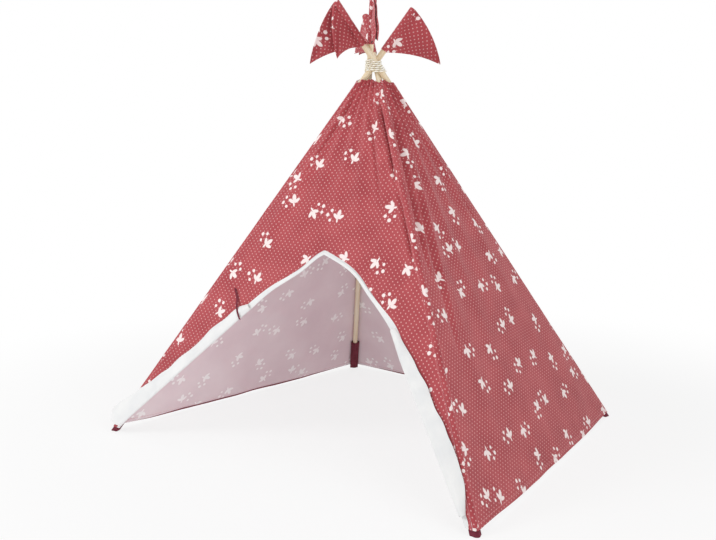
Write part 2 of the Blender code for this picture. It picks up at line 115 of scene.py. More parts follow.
def linear(colour):
    """An sRGB hex colour as the linear one that a shader takes."""
    channels = [int(colour[n : n + 2], 16) / 255 for n in (1, 3, 5)]
    return [c / 12.92 if c <= 0.04045 else ((c + 0.055) / 1.055) ** 2.4 for c in channels] + [1]


def add_node(tree, kind, settings=None, **inputs):
    """A node with its settings and its inputs: a socket is linked, anything else is its value."""
    node = tree.nodes.new(f"ShaderNode{kind}")
    for name, value in (settings or {}).items():
        setattr(node, name, value)
    for name, value in inputs.items():
        socket = node.inputs[int(name[1:])] if name[1:].isdigit() else node.inputs[name.replace("_", " ")]
        if isinstance(value, bpy.types.NodeSocket):
            tree.links.new(value, socket)
        else:
            socket.default_value = value
    return node


def new_material(name):
    made = bpy.data.materials.new(name)
    made.use_nodes = True
    return made, made.node_tree, made.node_tree.nodes["Principled BSDF"]


def colour_ramp(tree, factor, *stops):
    """A colour ramp through hex colours, given as (place, colour)."""
    ramp = add_node(tree, "ValToRGB", Fac=factor)
    while len(ramp.color_ramp.elements) < len(stops):
        ramp.color_ramp.elements.new(0.5)
    for element, (place, colour) in zip(ramp.color_ramp.elements, stops, strict=True):
        element.position = place
        element.color = linear(colour)
    return ramp.outputs["Color"]


# Pine, turned and sanded: pale straw with darker growth lines stretched along the dowel
pine, tree, shader = new_material("sanded_pine")
grain_place = add_node(tree, "Attribute", {"attribute_name": "along_grain"}).outputs["Vector"]
stretched = add_node(tree, "Mapping", Vector=grain_place, Scale=(1, 1, 0.04)).outputs["Vector"]
grain = add_node(tree, "TexNoise", Vector=stretched, Scale=420, Detail=4, Roughness=0.6)
patches = add_node(tree, "TexNoise", Vector=stretched, Scale=90, Detail=2)
mixed = add_node(
    tree, "Math", {"operation": "MULTIPLY_ADD"},
    _0=grain.outputs["Fac"], _1=0.6, _2=patches.outputs["Fac"],
).outputs["Value"]
colours = colour_ramp(tree, mixed, (0.50, "#D6BB95"), (0.72, "#E8D4B1"), (0.95, "#F3E6CC"))
bump = add_node(tree, "Bump", Strength=0.25, Distance=0.0003, Height=grain.outputs["Fac"])
tree.links.new(colours, shader.inputs["Base Color"])
tree.links.new(bump.outputs["Normal"], shader.inputs["Normal"])
shader.inputs["Roughness"].default_value = 0.55


def turn_pole(name, corner, start, end):
    """A dowel along a pole's axis with eased ends, and its own place along the grain."""
    bpy.ops.object.select_all(action="DESELECT")
    bpy.ops.mesh.primitive_cylinder_add(vertices=40, radius=POLE_RADIUS, depth=end - start)
    piece = bpy.context.object
    piece.name = name
    ends = piece.modifiers.new("ends", "BEVEL")
    ends.width = POLE_END_ROUNDING
    ends.segments = 4
    ends.limit_method = "ANGLE"
    ends.angle_limit = math.radians(60)
    bpy.ops.object.modifier_apply(modifier="ends")
    grain_data = piece.data.attributes.new("along_grain", "FLOAT_VECTOR", "POINT").data
    shift = Vector((0, 0, CORNERS.index(corner) * POLE_GRAIN_STEP + start))
    for vert in piece.data.vertices:
        grain_data[vert.index].vector = vert.co + shift
    piece.data.transform(turned_to(corner, (start + end) / 2))
    bpy.ops.object.shade_smooth_by_angle(angle=math.radians(50))
    piece.data.materials.clear()
    piece.data.materials.append(pine)
    return piece


def ride_side(piece, corner_or_side):
    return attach(piece, "left_side" if corner_or_side.endswith("left") else "right_side")


for corner in CORNERS:
    for part, start, end in (("lower", POLE_FOOT, POLE_JOINT), ("upper", POLE_JOINT, POLE_LENGTH)):
        dowel = turn_pole(f"dowel_{corner}_{part}", corner, start, end)
        ride_side(dowel, corner)
        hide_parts(f"pole_{corner}_{part}")


# Ferrules
# A rolled steel sleeve over each pole's joint, hidden under the cover. It is the frame's own
# solid, bright with fine drawing marks round it.

steel, tree, shader = new_material("rolled_steel")
place = add_node(tree, "TexCoord").outputs["Object"]
marks = add_node(tree, "TexNoise", Vector=place, Scale=900, Detail=2)
rough = add_node(tree, "MapRange", Value=marks.outputs["Fac"], To_Min=0.25, To_Max=0.42)
tree.links.new(rough.outputs["Result"], shader.inputs["Roughness"])
shader.inputs["Base Color"].default_value = linear("#C2C3C5")
shader.inputs["Metallic"].default_value = 1

for corner in CORNERS:
    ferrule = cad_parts[f"ferrule_{corner}"]
    ferrule.data.materials.clear()
    ferrule.data.materials.append(steel)


# Cover
# A cotton canvas cover, printed on its outside: pale leaf sprigs with dots beside them, on a
# ground of fine dots. Straight side, front and back panels are sewn to a narrow strip that
# wraps each pole, and all of it is drawn in to soft folds round the poles at the top.

CLOTH = 0.0016
COVER_RADIUS = 0.0136
CORNER_HEM = 0.016
HEM_SAG = 0.007
COLLAR_RISE = 0.012
HEM_WIDTH = 0.012
COVER_TOP = 1.222
CROSSING = Vector((0, -0.072, 1.278))
PANEL_ENDS = {
    "left": ("front_left", "rear_left"),
    "front": ("front_right", "front_left"),
    "right": ("rear_right", "front_right"),
    "back": ("rear_left", "rear_right"),
}
CORNER_PANELS = {
    "front_left": ("left", "front"),
    "front_right": ("front", "right"),
    "rear_right": ("right", "back"),
    "rear_left": ("back", "left"),
}
THREAD_PITCH = 0.0016
THREAD_HALF_WIDTH = 0.0005
STITCH_HALF_LENGTH = 0.0015
STITCH_HALF_BEAT = 0.002
SEAM_STITCH = 0.004
HEM_ALLOWANCE_AND_SHADE = 0.008
PRINT_DOT_PITCH = 0.0130
PRINT_DOT_SHARE = 0.16
PRINT_DOT_BLUR_SHARE = 0.25
SPRIG_BLUR_SHARE = 0.12
SPRIG_PITCH = 0.138
SPRIG_UNIT = 0.00118
# Each leaf or dot of the sprig: place x and y, half length and half width, and its turn
SPRIG_SHAPES = (
    (0, 8, 12, 6.0, 90),
    (-9, 0, 10, 4.8, 145),
    (9, 0, 10, 4.8, 35),
    (1, -10, 8, 2.6, 80),
    (26, 14, 4.8, 4.8, 0),
    (37, 0, 5.4, 5.4, 0),
    (25, -14, 4.4, 4.4, 0),
)


def print_masks(tree):
    """Where the print's ground dots and its sprigs lie on the cloth's own map, in metres."""
    chart = add_node(tree, "UVMap").outputs["UV"]
    staggered = add_node(tree, "Mapping", Vector=chart, Rotation=(0, 0, math.radians(45)))
    cells = add_node(
        tree, "TexVoronoi", {"voronoi_dimensions": "2D"},
        Vector=staggered.outputs["Vector"], Scale=1 / PRINT_DOT_PITCH, Randomness=0,
    )
    dots = add_node(
        tree, "MapRange", Value=cells.outputs["Distance"],
        From_Min=PRINT_DOT_SHARE * (1 + PRINT_DOT_BLUR_SHARE),
        From_Max=PRINT_DOT_SHARE * (1 - PRINT_DOT_BLUR_SHARE),
    ).outputs["Result"]
    fields = add_node(
        tree, "TexVoronoi", {"voronoi_dimensions": "2D"},
        Vector=chart, Scale=1 / SPRIG_PITCH, Randomness=0.6,
    )
    local = add_node(
        tree, "VectorMath", {"operation": "SUBTRACT"}, _0=chart, _1=fields.outputs["Position"]
    ).outputs["Vector"]
    tone = add_node(tree, "SeparateColor", Color=fields.outputs["Color"]).outputs["Red"]
    angle = add_node(tree, "Math", {"operation": "MULTIPLY"}, _0=tone, _1=2 * math.pi)
    turned = add_node(
        tree, "VectorRotate", {"rotation_type": "Z_AXIS"}, Vector=local, Angle=angle.outputs["Value"]
    ).outputs["Vector"]
    nearest = 9.0
    for x, y, length, width, turn in SPRIG_SHAPES:
        fitted = add_node(
            tree, "Mapping", {"vector_type": "TEXTURE"}, Vector=turned,
            Location=(x * SPRIG_UNIT, y * SPRIG_UNIT, 0), Rotation=(0, 0, math.radians(turn)),
            Scale=(length * SPRIG_UNIT, width * SPRIG_UNIT, 1),
        ).outputs["Vector"]
        reach = add_node(tree, "VectorMath", {"operation": "LENGTH"}, _0=fitted).outputs["Value"]
        nearest = add_node(tree, "Math", {"operation": "MINIMUM"}, _0=reach, _1=nearest).outputs["Value"]
    sprigs = add_node(
        tree, "MapRange", Value=nearest, From_Min=1 + SPRIG_BLUR_SHARE, From_Max=1 - SPRIG_BLUR_SHARE
    ).outputs["Result"]
    return chart, dots, sprigs


def weave_bump(tree, shader, chart, strength=0.35):
    """Canvas weave, drawn at 1.6 mm so that it shows close up, with slubs and soft creases."""
    threads = [
        add_node(
            tree, "TexWave", {"bands_direction": way},
            Vector=chart, Scale=1 / (THREAD_PITCH * 2 * math.pi), Distortion=0.8,
        ).outputs["Fac"]
        for way in ("X", "Y")
    ]
    weave = add_node(tree, "Math", {"operation": "MAXIMUM"}, _0=threads[0], _1=threads[1]).outputs["Value"]
    slubs = add_node(tree, "TexNoise", Vector=chart, Scale=220, Detail=3).outputs["Fac"]
    height = add_node(
        tree, "Math", {"operation": "MULTIPLY_ADD"}, _0=weave, _1=0.5, _2=slubs
    ).outputs["Value"]
    fine = add_node(tree, "Bump", Strength=strength, Distance=0.0003, Height=height)
    creases = add_node(tree, "TexNoise", Vector=chart, Scale=16, Detail=5, Roughness=0.62).outputs["Fac"]
    soft = add_node(
        tree, "Bump", Strength=0.5, Distance=0.004, Height=creases, Normal=fine.outputs["Normal"]
    )
    tree.links.new(soft.outputs["Normal"], shader.inputs["Normal"])


def mixed_colour(tree, factor, first, second):
    """A mix of two colours, each a hex value or a socket."""
    mix = add_node(tree, "Mix", {"data_type": "RGBA"})
    if isinstance(factor, bpy.types.NodeSocket):
        tree.links.new(factor, mix.inputs[0])
    else:
        mix.inputs[0].default_value = factor
    for socket, colour in ((mix.inputs[6], first), (mix.inputs[7], second)):
        if isinstance(colour, str):
            socket.default_value = linear(colour)
        else:
            tree.links.new(colour, socket)
    return mix.outputs[2]


def stitches(tree):
    """Topstitching: a row of 3 mm stitches along the hem and one beside each seam."""
    sewing = add_node(tree, "Attribute", {"attribute_name": "sewing"}).outputs["Vector"]
    parts = add_node(tree, "SeparateXYZ", Vector=sewing)
    rows = []
    for across, line, along_row in (("X", SEAM_STITCH, "Z"), ("Z", HEM_WIDTH, "Y")):
        near = add_node(
            tree, "Math", {"operation": "COMPARE"},
            _0=parts.outputs[across], _1=line, _2=THREAD_HALF_WIDTH,
        ).outputs["Value"]
        beat = add_node(
            tree, "Math", {"operation": "PINGPONG"}, _0=parts.outputs[along_row], _1=STITCH_HALF_BEAT
        )
        held = add_node(
            tree, "Math", {"operation": "LESS_THAN"}, _0=beat.outputs["Value"], _1=STITCH_HALF_LENGTH
        ).outputs["Value"]
        rows.append(add_node(tree, "Math", {"operation": "MULTIPLY"}, _0=near, _1=held).outputs["Value"])
    return add_node(tree, "Math", {"operation": "MAXIMUM"}, _0=rows[0], _1=rows[1]).outputs["Value"]


# Printed cotton canvas, its right side: brick red, faded a little here and there, matt with a
# faint sheen of loose fibres, sewn with pink thread
printed, tree, shader = new_material("printed_cotton_canvas")
chart, dots, sprigs = print_masks(tree)
fade = add_node(tree, "TexNoise", Vector=chart, Scale=9, Detail=5).outputs["Fac"]
ground = colour_ramp(tree, fade, (0.30, "#A43C43"), (0.70, "#B84F54"))
faint = add_node(tree, "Math", {"operation": "MULTIPLY"}, _0=dots, _1=0.62).outputs["Value"]
dotted = mixed_colour(tree, faint, ground, "#F0C6C4")
sewn = mixed_colour(tree, stitches(tree), mixed_colour(tree, sprigs, dotted, "#FAEAE8"), "#D98F92")
tree.links.new(sewn, shader.inputs["Base Color"])
weave_bump(tree, shader, chart)
shader.inputs["Roughness"].default_value = 0.88
shader.inputs["Sheen Weight"].default_value = 0.15

# The canvas's wrong side: pale greyed pink where the print shows faintly through, with the
# printed hem allowance turned in along the bottom, painted darker than the print as the shade
# along the foot of the inside walls. Light comes through it softly
reverse, tree, shader = new_material("cotton_canvas_reverse")
chart, dots, sprigs = print_masks(tree)
shade = add_node(tree, "TexNoise", Vector=chart, Scale=5, Detail=4).outputs["Fac"]
ground = colour_ramp(tree, shade, (0.30, "#DDCBD0"), (0.70, "#E8DADD"))
ghost = add_node(tree, "Math", {"operation": "MULTIPLY"}, _0=sprigs, _1=0.85).outputs["Value"]
ghosted = mixed_colour(tree, ghost, ground, "#FBF7F7")
height = add_node(tree, "SeparateXYZ", Vector=chart).outputs["Y"]
# The turned-in printed hem, in a maroon darker than the print: partly real hem, partly painted shade along
# the walls' foot
hem = add_node(tree, "Math", {"operation": "LESS_THAN"}, _0=height, _1=HEM_ALLOWANCE_AND_SHADE).outputs["Value"]
sewn = mixed_colour(tree, stitches(tree), mixed_colour(tree, hem, ghosted, "#7E3A42"), "#C98088")
tree.links.new(sewn, shader.inputs["Base Color"])
weave_bump(tree, shader, chart)
shader.inputs["Roughness"].default_value = 0.9
shader.inputs["Subsurface Weight"].default_value = 0.35
shader.inputs["Subsurface Radius"].default_value = (1, 0.75, 0.78)
shader.inputs["Subsurface Scale"].default_value = 0.004


def outward_normal(panel):
    first, second = PANEL_ENDS[panel]
    normal = (FEET[second] - FEET[first]).cross(CROSSING - FEET[first]).normalized()
    return normal if normal.dot(FEET[first]) > 0 else -normal


PANEL_NORMALS = {panel: outward_normal(panel) for panel in PANEL_ENDS}


def corner_line(corner, height):
    return along(corner, height / LEANS[corner].z)


def beside_corner(corner, direction, height, radius=COVER_RADIUS):
    off = direction * radius
    return corner_line(corner, height - off.z) + off


def edge_direction(corner, panel, height):
    """The way from a corner's line, square to it, to where a panel leaves it at a height."""
    first, second = PANEL_ENDS[panel]
    other = second if corner == first else first
    across = corner_line(other, height) - corner_line(corner, height)
    normal = LEANS[corner].cross(across).normalized()
    return normal if normal.dot(PANEL_NORMALS[panel]) > 0 else -normal


@lru_cache(maxsize=None)
def panel_row(panel, height):
    """The two ends of a panel at a height, where it meets the strips round its poles."""
    return [beside_corner(c, edge_direction(c, panel, height), height) for c in PANEL_ENDS[panel]]


def panel_spot(panel, across, height, lift=0):
    first, second = panel_row(panel, height)
    return first.lerp(second, across) + PANEL_NORMALS[panel] * lift


def share_at_x(panel, x, height):
    first, second = panel_row(panel, height)
    return (x - first.x) / (second.x - first.x)


def spot_at_x(panel, x, height, lift=0):
    return panel_spot(panel, share_at_x(panel, x, height), height, lift)


def smooth_step(low, high, value):
    share = min(max((value - low) / (high - low), 0), 1)
    return share * share * (3 - 2 * share)


# Gathered folds of each panel: place across at the collar, drift by the hem, depth in
# millimetres, width as a share of the panel, and how far down the fold reaches
GATHERS = {
    "left": (
        (0.14, 0.05, 8, 0.045, 0.30),
        (0.34, 0.02, 9, 0.06, 0.15),
        (0.56, -0.02, 8, 0.05, 0.35),
        (0.80, -0.05, 9, 0.05, 0.20),
    ),
    "right": (
        (0.16, 0.06, 9, 0.05, 0.25),
        (0.37, 0.04, 8, 0.05, 0.40),
        (0.60, -0.03, 10, 0.055, 0.10),
        (0.80, -0.03, 11, 0.05, 0.05),
    ),
    "front": (
        (0.14, 0.02, 9, 0.05, 0.35),
        (0.33, 0.03, 9, 0.05, 0.50),
        (0.52, 0.0, 9, 0.045, 0.62),
        (0.70, -0.02, 8, 0.05, 0.55),
        (0.89, -0.02, 9, 0.045, 0.30),
    ),
    "back": (
        (0.13, 0.05, 9, 0.05, 0.20),
        (0.35, 0.02, 8, 0.06, 0.30),
        (0.62, -0.02, 9, 0.05, 0.10),
        (0.85, -0.04, 9, 0.05, 0.25),
    ),
}
# Sharp creases that run down beside a pole or a fold: the panel's end they are near (0 or 1),
# how far from its seam at their top and foot, where they start and end going up, depth, width
CREASES = {
    "front": (
        (0, 0.013, 0.017, 0.70, 0.975, 12, 0.0050),
        (0, 0.012, 0.014, 0.50, 0.745, 9, 0.0055),
        (0, 0.050, 0.090, 0.64, 0.995, 6, 0.0065),
        (1, 0.026, 0.060, 0.68, 0.985, 6, 0.0060),
    ),
    "right": (
        (1, 0.018, 0.036, 0.48, 0.92, 14, 0.0090),
        (1, 0.046, 0.115, 0.28, 0.87, 9, 0.0120),
        (0, 0.022, 0.055, 0.55, 0.98, 7, 0.0070),
    ),
    "left": ((0, 0.016, 0.034, 0.52, 0.95, 9, 0.0080), (1, 0.022, 0.060, 0.48, 0.94, 9, 0.0090)),
    "back": ((0, 0.016, 0.036, 0.50, 0.95, 9, 0.0080), (1, 0.020, 0.050, 0.56, 0.95, 9, 0.0080)),
}
SEAM_DEPTH = 0.0012
SEAM_WIDTH = 0.005
# A fold fades out over a share of the height, and is no deeper than a share of the width there
GATHER_FADE_SHARE = 0.15
GATHER_DEPTH_SHARE = 0.16
# A crease too, which comes up over a share of its own length, and has a raised lip beside it,
# so many times its spread away and a share of its depth high
CREASE_DEPTH_SHARE = 0.09
CREASE_START_SHARE = 0.35
CREASE_END_SHARE = 0.08
CREASE_LIP_SHARE = 0.45
CREASE_LIP_AWAY = 1.9
# Slack in the cloth: how fine each wave is, and the part of a metre it moves, such as a 170th
SLACK_WAVES = ((3.1, 170), (9, 500), (24, 1800))
COLLAR_FREE_SHARE = 0.3
HEM_FREE_SHARE = 0.28


def panel_relief(panel, across, height):
    """How far the cloth stands off the flat panel: folds from the top, slack and sunk seams."""
    up = (height - CORNER_HEM) / (COVER_TOP - CORNER_HEM)
    first, second = panel_row(panel, height)
    width = (second - first).length
    lift = 0
    for place, drift, depth, spread, reach in GATHERS[panel]:
        from_ridge = (across - place - drift * (1 - up)) / spread
        strength = smooth_step(reach - GATHER_FADE_SHARE, 1.0, up)
        strength *= min(depth / 1000, GATHER_DEPTH_SHARE * width)
        lift += strength * math.exp(-from_ridge * from_ridge)
    for end, near, far, low, high, depth, spread in CREASES[panel]:
        middle = near + (far - near) * (high - up) / (high - low)
        from_line = (abs(across - end) * width - middle) / spread
        start = low + CREASE_START_SHARE * (high - low)
        strength = smooth_step(low, start, up) * smooth_step(0, CREASE_END_SHARE, high - up)
        lip = CREASE_LIP_SHARE * math.exp(-((from_line - CREASE_LIP_AWAY) ** 2))
        sunk = math.exp(-from_line * from_line) - lip
        lift -= strength * min(depth / 1000, CREASE_DEPTH_SHARE * width) * sunk
    spot = panel_spot(panel, across, height)
    slack = sum(noise.noise(spot * fine) / part for fine, part in SLACK_WAVES)
    free = smooth_step(0, 0.12, across) * smooth_step(0, 0.12, 1 - across) * smooth_step(0, 0.2, 1.02 - up)
    edge = min(across, 1 - across) * width / SEAM_WIDTH
    return (lift + slack * free) * smooth_step(0, 1.5, edge) - SEAM_DEPTH * math.exp(-edge * edge)


def collar_level(panel, across):
    """The height of the cover's upper edge: it rises unevenly between the poles."""
    free = smooth_step(0, COLLAR_FREE_SHARE, across) * smooth_step(0, COLLAR_FREE_SHARE, 1 - across)
    return COVER_TOP + COLLAR_RISE * free * (0.6 + noise.noise(Vector((across * 4, len(panel), 7))))


def hem_level(panel, across):
    """The height of the cover's lower edge: held up at the poles, nearly on the floor between."""
    held = smooth_step(0, HEM_FREE_SHARE, across) * smooth_step(0, HEM_FREE_SHARE, 1 - across)
    return CORNER_HEM - HEM_SAG * held * (1 + 0.25 * noise.noise(Vector((across * 7, len(panel), 2))))


PANEL_ORDER = list(PANEL_ENDS)


def panel_chart(panel, across, height):
    """A panel's own map in metres: across from its middle line, and up its slope."""
    first, second = panel_row(panel, height)
    slope = (height - CORNER_HEM + HEM_SAG) / math.sqrt(1 - PANEL_NORMALS[panel].z ** 2)
    return ((across - 0.5) * (second - first).length + 3 * PANEL_ORDER.index(panel), slope)


def panel_sewing(panel, across, height):
    """How far a place is from the panel's seams, across it, and up from its hem, in metres."""
    first, second = panel_row(panel, height)
    width = (second - first).length
    return (min(across, 1 - across) * width, across * width, height - hem_level(panel, across))


def along_rows(points, widths, anchor):
    """The map's widths taken along the folded cloth, row by row out from one column."""
    steps = np.linalg.norm(np.diff(points, axis=1), axis=2) * np.sign(widths[:, -1:] - widths[:, :1])
    run = np.cumsum(np.pad(steps, ((0, 0), (1, 0))), axis=1)
    return run + widths[:, anchor : anchor + 1] - run[:, anchor : anchor + 1]


def lay_cloth(name, columns, rows, place, chart, inside, sewing=None, anchor=None):
    """An open sheet with its points at place(across, up) and its map at chart(across, up).

    It faces away from a point inside, and sewing(across, up) says how far each point is from
    its seams and hem. With an anchor, the map follows the folds out from that column.
    """
    bpy.ops.object.select_all(action="DESELECT")
    bpy.ops.mesh.primitive_grid_add(x_subdivisions=columns, y_subdivisions=rows, size=1)
    piece = bpy.context.object
    piece.name = name
    mesh = piece.data
    shares = [(v.co.x + 0.5, v.co.y + 0.5) for v in mesh.vertices]
    for vert, share in zip(mesh.vertices, shares, strict=True):
        vert.co = place(*share)
    spread = np.array([chart(*share) for share in shares])
    if anchor is not None:
        points = np.array([v.co for v in mesh.vertices]).reshape(rows + 1, columns + 1, 3)
        widths = spread[:, 0].reshape(rows + 1, columns + 1)
        spread[:, 0] = along_rows(points, widths, anchor).ravel()
    layer = mesh.uv_layers[0].data
    for loop in mesh.loops:
        layer[loop.index].uv = spread[loop.vertex_index]
    if sewing:
        sewn = mesh.attributes.new("sewing", "FLOAT_VECTOR", "POINT").data
        for vert, share in zip(mesh.vertices, shares, strict=True):
            sewn[vert.index].vector = sewing(*share)
    mesh.update()
    if sum(p.area * p.normal.dot(p.center - inside) for p in mesh.polygons) < 0:
        mesh.flip_normals()
    return piece


def thicken(piece, thickness, outside, inside):
    """The sheet given its thickness, with one material on each face, and shaded smooth."""
    piece.data.materials.append(outside)
    piece.data.materials.append(inside)
    wall = piece.modifiers.new("cloth", "SOLIDIFY")
    wall.thickness = thickness
    wall.offset = 0
    wall.use_even_offset = False
    wall.material_offset = 1
    wall.material_offset_rim = 1
    bpy.context.view_layer.objects.active = piece
    bpy.ops.object.modifier_apply(modifier="cloth")
    bpy.ops.object.select_all(action="DESELECT")
    piece.select_set(True)
    bpy.ops.object.shade_smooth_by_angle(angle=math.radians(60))
    return piece


def give_way(piece):
    """The piece is given a mesh of its own."""
    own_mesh(piece)


INSIDE = Vector((0, 0, 0.4))


def lay_panel(name, panel, columns, rows, anchor, across_of=lambda across: across):
    """A side or back panel, or a half of one, from its hem to the top of the cover."""

    def at(across, up):
        whole = across_of(across)
        low = hem_level(panel, whole)
        return panel, whole, low + (collar_level(panel, whole) - low) * up

    return lay_cloth(
        name, columns, rows,
        lambda across, up: panel_spot(*at(across, up), panel_relief(*at(across, up))),
        lambda across, up: panel_chart(*at(across, up)),
        INSIDE,
        lambda across, up: panel_sewing(*at(across, up)),
        anchor,
    )


SIDE_COLUMNS = 140
PANEL_ROWS = 130

for side in SIDES:
    cloth = lay_panel(f"cover_side_{side}", side, SIDE_COLUMNS, PANEL_ROWS, SIDE_COLUMNS // 2)
    thicken(cloth, CLOTH, printed, reverse)
    ride_side(cloth, side)
    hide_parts(f"side_panel_{side}")

BACK_COLUMNS = 64


def half_share(panel, side, share):
    """A place across a whole panel from a share of the way from one pole to the middle line."""
    outer = 0 if PANEL_ENDS[panel][0].endswith(side) else 1
    return outer + (0.5 - outer) * share


for side in SIDES:
    cloth = lay_panel(
        f"cover_back_{side}", "back", BACK_COLUMNS, PANEL_ROWS, BACK_COLUMNS,
        partial(half_share, "back", side),
    )
    thicken(cloth, CLOTH, printed, reverse)
    ride_side(cloth, side)
    give_way(cloth)
    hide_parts(f"back_panel_{side}")


# Corner strips
# A strip of the same canvas wraps each pole from one panel to the next. Its seams sink a little
# where the allowances are topstitched, and show as a fine dark line beside the ridge.

STRIP_GRID = (18, 150)
# The strip's size on the print's map, and how many metres along that map the first one lies
STRIP_MAP = (0.026, 1.49)
STRIP_MAP_PLACE = 20
# How sharply the strip sinks to its seams, and how far it stands out and wavers between them
STRIP_SEAM_FALL = 6
STRIP_PUFF = 0.0006
STRIP_WAVER = 0.0005


def corner_spot(corner, across, up):
    height = CORNER_HEM + (COVER_TOP - CORNER_HEM) * up
    start, end = (edge_direction(corner, panel, height) for panel in CORNER_PANELS[corner])
    turn = Matrix.Rotation(start.angle(end) * across, 3, start.cross(end).normalized())
    edge = min(across, 1 - across) * STRIP_SEAM_FALL
    waver = STRIP_WAVER * noise.noise(Vector((across * 2, CORNERS.index(corner) * 5, height * 16)))
    ease = math.exp(-edge * edge)
    radius = COVER_RADIUS + (waver + STRIP_PUFF) * (1 - ease) - SEAM_DEPTH * ease
    return beside_corner(corner, turn @ start, height, radius)


def corner_chart(corner, across, up):
    place = STRIP_MAP_PLACE + CORNERS.index(corner)
    return ((across - 0.5) * STRIP_MAP[0] + place, up * STRIP_MAP[1])


for corner in CORNERS:
    strip = lay_cloth(
        f"cover_strip_{corner}", *STRIP_GRID,
        partial(corner_spot, corner), partial(corner_chart, corner), INSIDE,
    )
    thicken(strip, CLOTH, printed, reverse)
    ride_side(strip, corner)
    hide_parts(f"cover_corner_{corner}")


# Front panel
# The front is cut away in a low arch for the door. Above the arch it hangs like the other
# panels, and beside the door its hem holds it flat.

DOOR_HEIGHT = 0.668
DOOR_CORNER_MARGIN = 0.020
DOOR_EDGE_SHARES = {
    "left": (
        (1.0, 0.0), (0.985, 0.05), (0.91, 0.20), (0.81, 0.42), (0.70, 0.555),
        (0.55, 0.70), (0.35, 0.85), (0.17, 0.95), (0.0, 1.0),
    ),
    "right": (
        (1.0, 0.0), (0.988, 0.08), (0.94, 0.32), (0.84, 0.53), (0.72, 0.71),
        (0.55, 0.815), (0.35, 0.91), (0.17, 0.97), (0.0, 1.0),
    ),
}
DOOR_HEM = 0.013
SIGN = {"left": -1, "right": 1}


def smooth_through(points, at):
    """The value at a place of a smooth curve through points that run in order of place."""
    places, values = (np.array(row) for row in zip(*sorted(points), strict=True))
    steps = np.diff(values) / np.diff(places)
    slopes = np.concatenate([[steps[0]], (steps[1:] + steps[:-1]) / 2, [steps[-1]]])
    cell = int(np.clip(np.searchsorted(places, at) - 1, 0, len(steps) - 1))
    width = places[cell + 1] - places[cell]
    t = (at - places[cell]) / width
    rise = values[cell] * (2 * t**3 - 3 * t**2 + 1) + values[cell + 1] * (3 * t**2 - 2 * t**3)
    return float(rise + (slopes[cell] * (t**3 - 2 * t**2 + t) + slopes[cell + 1] * (t**3 - t**2)) * width)


def door_edge(side, down):
    """A point (x, height) of the door's edge, a share of the way down from its peak to the hem."""
    share = 1 - (1 - CORNER_HEM / DOOR_HEIGHT) * down
    height = DOOR_HEIGHT * share
    half = panel_row("front", height)[0].x - DOOR_CORNER_MARGIN
    return Vector((SIGN[side] * half * smooth_through(DOOR_EDGE_SHARES[side], share), height))


def off_door(side, down, width):
    """A point (x, height) that far into the cloth from the door's edge, no lower than the hem."""
    run = door_edge(side, min(1, down + 0.01)) - door_edge(side, max(0, down - 0.01))
    out = Vector((-run.y, run.x)).normalized()
    out = Vector((0, 1)) if down == 0 else (out if out.y > 0 else -out)
    spot = door_edge(side, down) + out * width
    if down == 0:
        spot.x = 0
    if down == 1:
        spot.y = CORNER_HEM
    return spot


FRONT_COLUMNS = 72
DOOR_ROWS = 90
UPPER_ROWS = 70
# The rows by the door lie closer near its peak, by this power of the way down
DOOR_ROW_EASE = 1.5
FLAT_BY_DOOR = 0.05
FREE_FROM_DOOR = 0.14


def front_place(side, across, up):
    """A place (share across the whole panel, height) of a front half, and how free it is to billow."""
    row = round(up * (DOOR_ROWS + UPPER_ROWS))
    peak = DOOR_HEIGHT + DOOR_HEM
    outer = 0 if side == "right" else 1
    if row <= DOOR_ROWS:
        inner = off_door(side, (1 - row / DOOR_ROWS) ** DOOR_ROW_EASE, DOOR_HEM)
    else:
        collar = collar_level("front", outer + (0.5 - outer) * across)
        inner = Vector((0, peak + (collar - peak) * (row - DOOR_ROWS) / UPPER_ROWS))
    at_door = share_at_x("front", inner.x, inner.y)
    share = outer + (at_door - outer) * across
    first, second = panel_row("front", inner.y)
    gap = max(abs(at_door - share) * (second - first).length, inner.y - peak)
    return share, inner.y, smooth_step(FLAT_BY_DOOR, FREE_FROM_DOOR, gap)


def front_spot(side, across, up):
    share, height, free = front_place(side, across, up)
    return panel_spot("front", share, height, panel_relief("front", share, height) * free)


for side in SIDES:
    cloth = lay_cloth(
        f"cover_front_{side}", FRONT_COLUMNS, DOOR_ROWS + UPPER_ROWS,
        partial(front_spot, side),
        lambda across, up: panel_chart("front", *front_place(side, across, up)[:2]),
        INSIDE,
        lambda across, up: panel_sewing("front", *front_place(side, across, up)[:2]),
        FRONT_COLUMNS,
    )
    thicken(cloth, CLOTH, printed, reverse)
    ride_side(cloth, side)
    give_way(cloth)
    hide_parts(f"front_panel_{side}")


# Door hem and curtains
# The curtains are lined with plain white cotton. They are turned back over the front, so that
# the lining shows as a soft band along the door, wider below the ties.

# Plain white cotton: bright, matt, slightly cool in its folds
lining, tree, shader = new_material("white_cotton_lining")
chart = add_node(tree, "UVMap").outputs["UV"]
shade = add_node(tree, "TexNoise", Vector=chart, Scale=14, Detail=4).outputs["Fac"]
tree.links.new(colour_ramp(tree, shade, (0.3, "#E6E7E8"), (0.7, "#F1F1F0")), shader.inputs["Base Color"])
weave_bump(tree, shader, chart, 0.3)
shader.inputs["Roughness"].default_value = 0.9

HEM_GRID = (16, 120)
HEM_MAP = (0.03, 0.95)
HEM_MAP_PLACE = 30
HEM_PUFF = 0.0026
HEM_EDGE_PUFF_SHARE = 0.45
